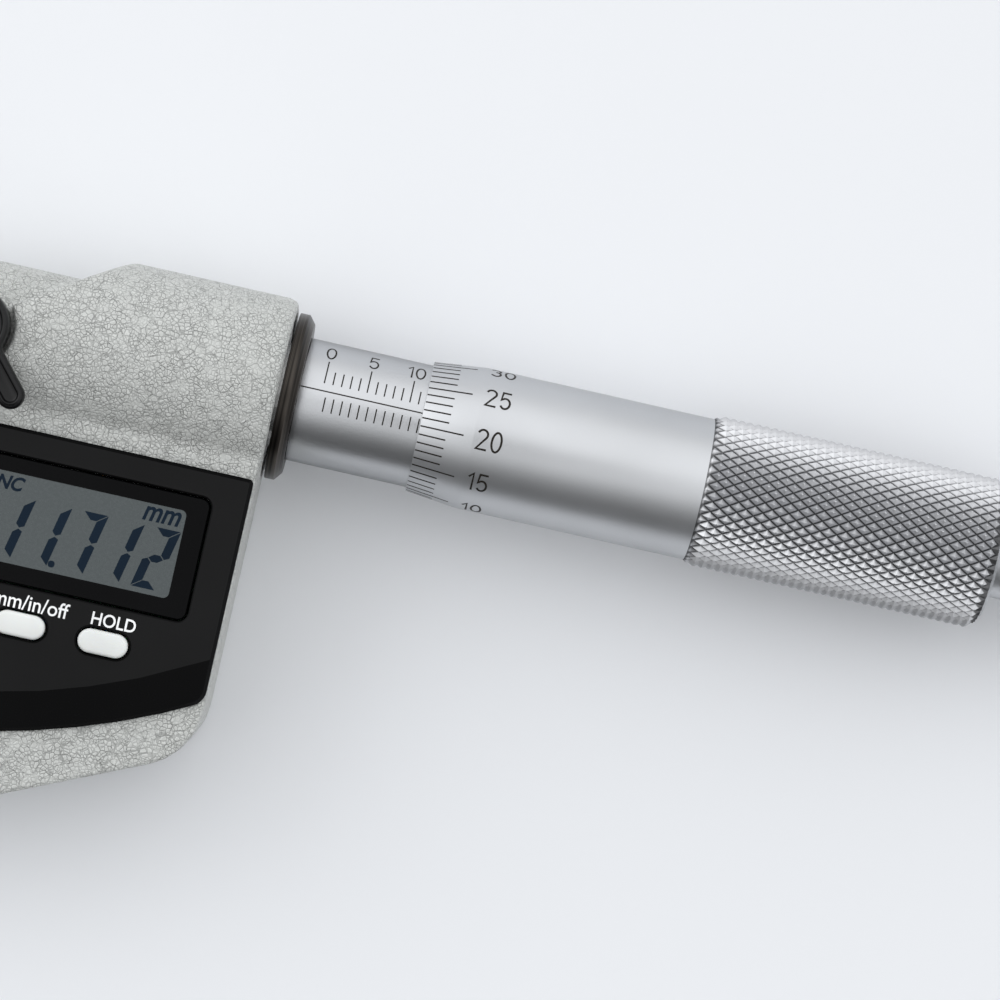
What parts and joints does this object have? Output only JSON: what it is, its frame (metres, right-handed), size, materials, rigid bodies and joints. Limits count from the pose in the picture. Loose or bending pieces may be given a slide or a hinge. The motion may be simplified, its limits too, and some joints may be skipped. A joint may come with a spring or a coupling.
{
  "type": "digital outside micrometer",
  "caption": "Digital outside micrometer with a U frame, front display and buttons, lock lever, sliding spindle, graduated sleeve and thimble, and ratchet knob.",
  "frame": {"origin": "centre of the anvil's measuring face", "axes": "+X along the spindle axis from the anvil to the ratchet, +Y towards the open side of the frame's throat, +Z out of the display"},
  "size_m": [0.1918, 0.0674, 0.0248],
  "materials": {
    "grey_enamel": "light grey hammertone enamel",
    "tool_steel": "ground",
    "carbide": "lapped",
    "satin_chrome": "satin",
    "black_oxide": "turned, blackened",
    "bronze": "bored",
    "spring_steel": "drawn wire",
    "black_plastic": "fine matt",
    "black_rubber": "matt",
    "window_acrylic": "gloss",
    "lcd_glass": "polarised",
    "zebra_rubber": "matt",
    "circuit_board": "solder mask",
    "chip_epoxy": "matt",
    "amber_film": "gloss",
    "white_plastic": "satin",
    "grey_silicone": "matt",
    "nickel": "plated",
    "dark_screw": "blackened"
  },
  "bodies": {
    "frame": {"frame": "grey_enamel", "anvil": "tool_steel", "anvil_tip": "carbide", "anvil_set_screw": "dark_screw", "guide_bush": "bronze", "spindle_wiper_seal": "black_rubber", "lock_pad": "bronze", "inner_sleeve": "tool_steel", "adjusting_nut": "tool_steel", "collar_ring": "black_oxide", "stator_board": "circuit_board", "stator_ribbon": "amber_film", "ribbon_socket": "chip_epoxy", "display_bezel": "black_plastic", "bezel_gasket": "black_rubber", "display_window": "window_acrylic", "lcd_panel": "lcd_glass", "zebra_strip": "zebra_rubber", "main_board": "circuit_board", "controller_chip": "chip_epoxy", "crystal_can": "nickel", "button_pad": "grey_silicone", "battery_holder": "black_plastic", "battery": "nickel", "battery_contact_plus": "nickel", "battery_contact_minus": "nickel", "bezel_screw_1": "dark_screw", "bezel_screw_2": "dark_screw", "bezel_screw_3": "dark_screw"},
    "sleeve": {"scale_sleeve": "satin_chrome"},
    "rotor": {"rotor_disc": "circuit_board", "rotor_bush": "bronze", "key_pin": "tool_steel"},
    "spindle": {"spindle": "tool_steel", "spindle_tip": "carbide", "thimble": "satin_chrome", "ratchet_post": "tool_steel"},
    "ratchet_knob": {"ratchet_knob": "satin_chrome"},
    "ratchet_disc": {"ratchet_disc": "tool_steel", "ratchet_spring": "spring_steel"},
    "lock": {"lock_lever": "black_plastic", "lock_stem": "tool_steel", "lever_screw": "dark_screw"},
    "hold_button": {"hold_button": "white_plastic"},
    "unit_button": {"unit_button": "white_plastic"},
    "set_button": {"set_button": "white_plastic"},
    "battery_seal": {"battery_seal": "black_rubber"},
    "battery_cap": {"battery_cap": "black_plastic"}
  },
  "joints": [
    {"name": "thimble_turn", "type": "hinge", "parent": "frame", "child": "rotor", "pos_m": [0, 0, 0], "axis": [1, 0, 0], "range_deg": [-8433, 9568]},
    {"name": "spindle_travel", "type": "slide", "parent": "rotor", "child": "spindle", "axis": [1, 0, 0], "range_m": [-0.01171, 0.01329]},
    {"name": "ratchet_turn", "type": "hinge", "parent": "spindle", "child": "ratchet_knob", "pos_m": [0.165, 0, 0], "axis": [1, 0, 0], "continuous": true},
    {"name": "ratchet_disc_lift", "type": "slide", "parent": "spindle", "child": "ratchet_disc", "axis": [-1, 0, 0], "range_m": [0, 0.0005], "stiffness_N_per_m": 1500, "springref_m": -0.001, "deforming": ["ratchet_spring"]},
    {"name": "lock_lever_turn", "type": "hinge", "parent": "frame", "child": "lock", "pos_m": [0.0381, 0, 0.0125], "axis": [0, 0, 1], "range_deg": [-15, 45]},
    {"name": "sleeve_zero_turn", "type": "hinge", "parent": "frame", "child": "sleeve", "pos_m": [0.09, 0, 0], "axis": [1, 0, 0], "range_deg": [-15, 15]},
    {"name": "hold_button_press", "type": "slide", "parent": "frame", "child": "hold_button", "axis": [0, 0, -1], "range_m": [0, 0.0005], "stiffness_N_per_m": 1200, "springref_m": -0.0003},
    {"name": "unit_button_press", "type": "slide", "parent": "frame", "child": "unit_button", "axis": [0, 0, -1], "range_m": [0, 0.0005], "stiffness_N_per_m": 1200, "springref_m": -0.0003},
    {"name": "set_button_press", "type": "slide", "parent": "frame", "child": "set_button", "axis": [0, 0, -1], "range_m": [0, 0.0005], "stiffness_N_per_m": 1200, "springref_m": -0.0003},
    {"name": "battery_cap_lift", "type": "slide", "parent": "frame", "child": "battery_seal", "axis": [0, 0, -1], "range_m": [0, 0.0024]},
    {"name": "battery_cap_turn", "type": "hinge", "parent": "battery_seal", "child": "battery_cap", "pos_m": [0.056, -0.028, -0.0105], "axis": [0, 0, -1], "range_deg": [0, 1081]}
  ],
  "couplings": [
    {"joint": "thimble_turn", "follows": "spindle_travel", "rad_per_m": 12566},
    {"joint": "battery_cap_turn", "follows": "battery_cap_lift", "rad_per_m": 7854}
  ]
}
